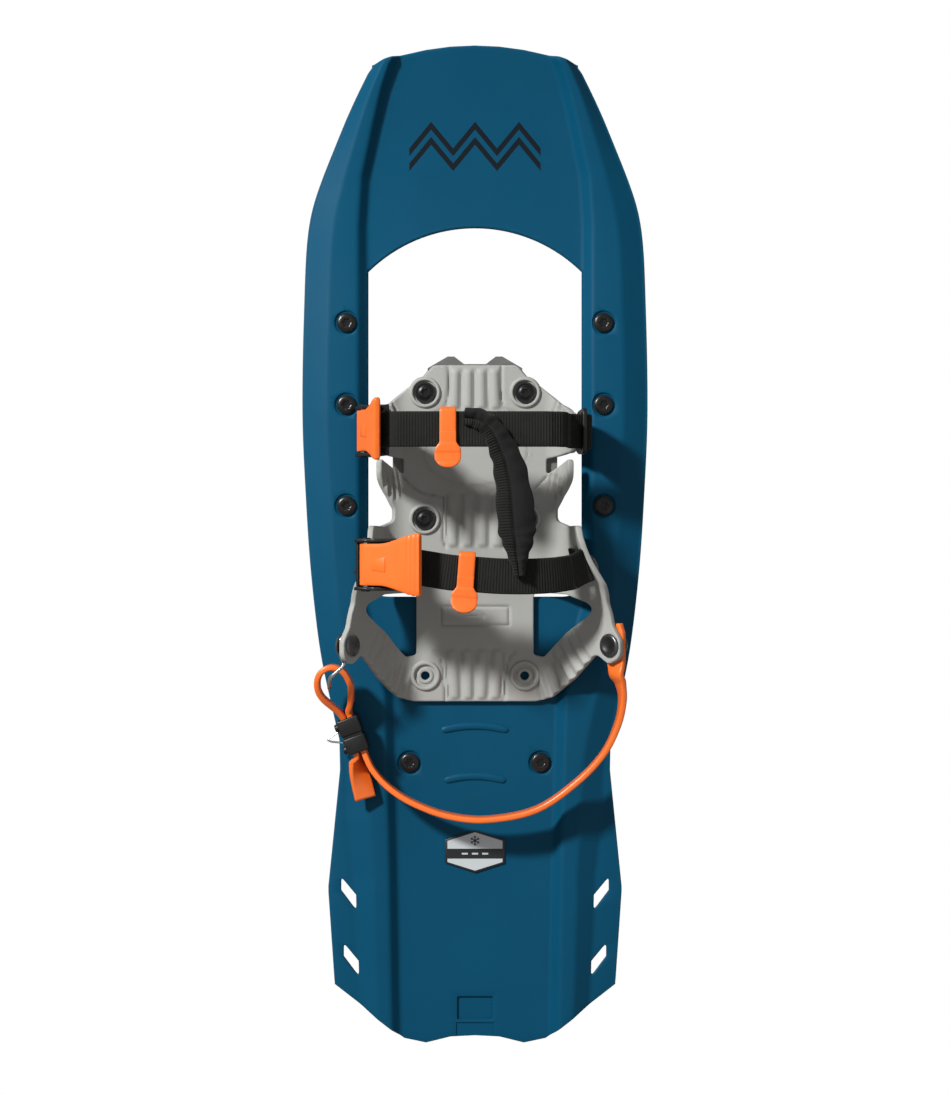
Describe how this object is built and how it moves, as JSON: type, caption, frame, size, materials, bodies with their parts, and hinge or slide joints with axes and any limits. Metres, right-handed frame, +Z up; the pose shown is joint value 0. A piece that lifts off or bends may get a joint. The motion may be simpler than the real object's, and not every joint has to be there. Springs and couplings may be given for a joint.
{
  "type": "snowshoe",
  "caption": "Moulded snowshoe with a pivoting strapped harness, steel toe and heel crampons and toothed traction rails.",
  "frame": {"origin": "on the ground under the middle of the deck", "axes": "+X to the wearer's right, +Y to the toe, +Z up"},
  "size_m": [0.2036, 0.5838, 0.1153],
  "materials": {
    "deck_blue": "satin moulded",
    "badge_silver": "brushed print plate",
    "harness_grey": "satin moulded elastomer",
    "orange_strap": "satin moulded elastomer",
    "orange_plastic": "satin moulded",
    "webbing_black": "ribbed webbing",
    "black_plastic": "satin moulded",
    "screw_black": "black oxide",
    "dark_steel": "dark plated",
    "steel": "heat treated steel"
  },
  "bodies": {
    "frame": {"deck": "deck_blue", "size_badge": "badge_silver", "traction_rail_left": "steel", "traction_rail_right": "steel", "pivot_axle": "steel", "axle_clip_left": "dark_steel", "axle_clip_right": "dark_steel", "heel_crampon": "steel", "rail_screw_front_left": "screw_black", "rail_screw_front_right": "screw_black", "rail_screw_middle_left": "screw_black", "rail_screw_middle_right": "screw_black", "rail_screw_rear_left": "screw_black", "rail_screw_rear_right": "screw_black", "rail_nut_front_left": "steel", "rail_nut_front_right": "steel", "rail_nut_middle_left": "steel", "rail_nut_middle_right": "steel", "rail_nut_rear_left": "steel", "rail_nut_rear_right": "steel", "heel_screw_left": "screw_black", "heel_screw_right": "screw_black", "heel_nut_left": "steel", "heel_nut_right": "steel"},
    "harness": {"harness": "harness_grey", "toe_crampon": "steel", "axle_bush_left": "black_plastic", "axle_bush_right": "black_plastic", "harness_screw_front_left": "screw_black", "harness_screw_front_right": "screw_black", "harness_screw_rear_left": "screw_black", "harness_screw_rear_right": "screw_black", "harness_nut_front_left": "steel", "harness_nut_front_right": "steel", "harness_nut_rear_left": "steel", "harness_nut_rear_right": "steel", "toe_strap": "webbing_black", "toe_buckle_frame": "black_plastic", "toe_buckle_pin": "steel", "toe_buckle_rivet": "dark_steel", "toe_strap_anchor": "black_plastic", "toe_anchor_rivet": "dark_steel", "instep_strap": "webbing_black", "instep_buckle_frame": "black_plastic", "instep_buckle_pin": "steel", "instep_buckle_rivet": "dark_steel", "instep_anchor_plate": "dark_steel", "link_strap": "webbing_black", "heel_strap_root": "orange_strap", "heel_rivet_left": "dark_steel", "heel_rivet_right": "dark_steel", "heel_hook": "steel"},
    "heel_strap": {"heel_strap": "orange_strap", "heel_buckle": "black_plastic", "heel_buckle_wire": "steel"},
    "toe_lever": {"toe_buckle_lever": "orange_plastic"},
    "instep_lever": {"instep_buckle_lever": "orange_plastic"},
    "toe_keeper": {"toe_keeper": "orange_plastic"},
    "instep_keeper": {"instep_keeper": "orange_plastic"}
  },
  "joints": [
    {"name": "harness_pivot", "type": "hinge", "parent": "frame", "child": "harness", "pos_m": [0, 0.069, 0.022], "axis": [-1, 0, 0], "range_deg": [0, 40]},
    {"name": "heel_strap_swing", "type": "hinge", "parent": "harness", "child": "heel_strap", "pos_m": [0, -0.0652, 0.06629], "axis": [-1, 0, 0], "range_deg": [0, 25]},
    {"name": "toe_lever_hinge", "type": "hinge", "parent": "harness", "child": "toe_lever", "pos_m": [-0.06409, 0.0675, 0.06815], "axis": [0, -1, 0], "range_deg": [0, 100]},
    {"name": "instep_lever_hinge", "type": "hinge", "parent": "harness", "child": "instep_lever", "pos_m": [-0.06122, -0.00862, 0.09274], "axis": [0, -1, 0], "range_deg": [0, 100]},
    {"name": "toe_keeper_slide", "type": "slide", "parent": "harness", "child": "toe_keeper", "axis": [1, 0, 0], "range_m": [-0.012, 0.001]},
    {"name": "instep_keeper_slide", "type": "slide", "parent": "harness", "child": "instep_keeper", "axis": [0.9976, -0.0698, 0], "range_m": [-0.006, 0.006]}
  ]
}
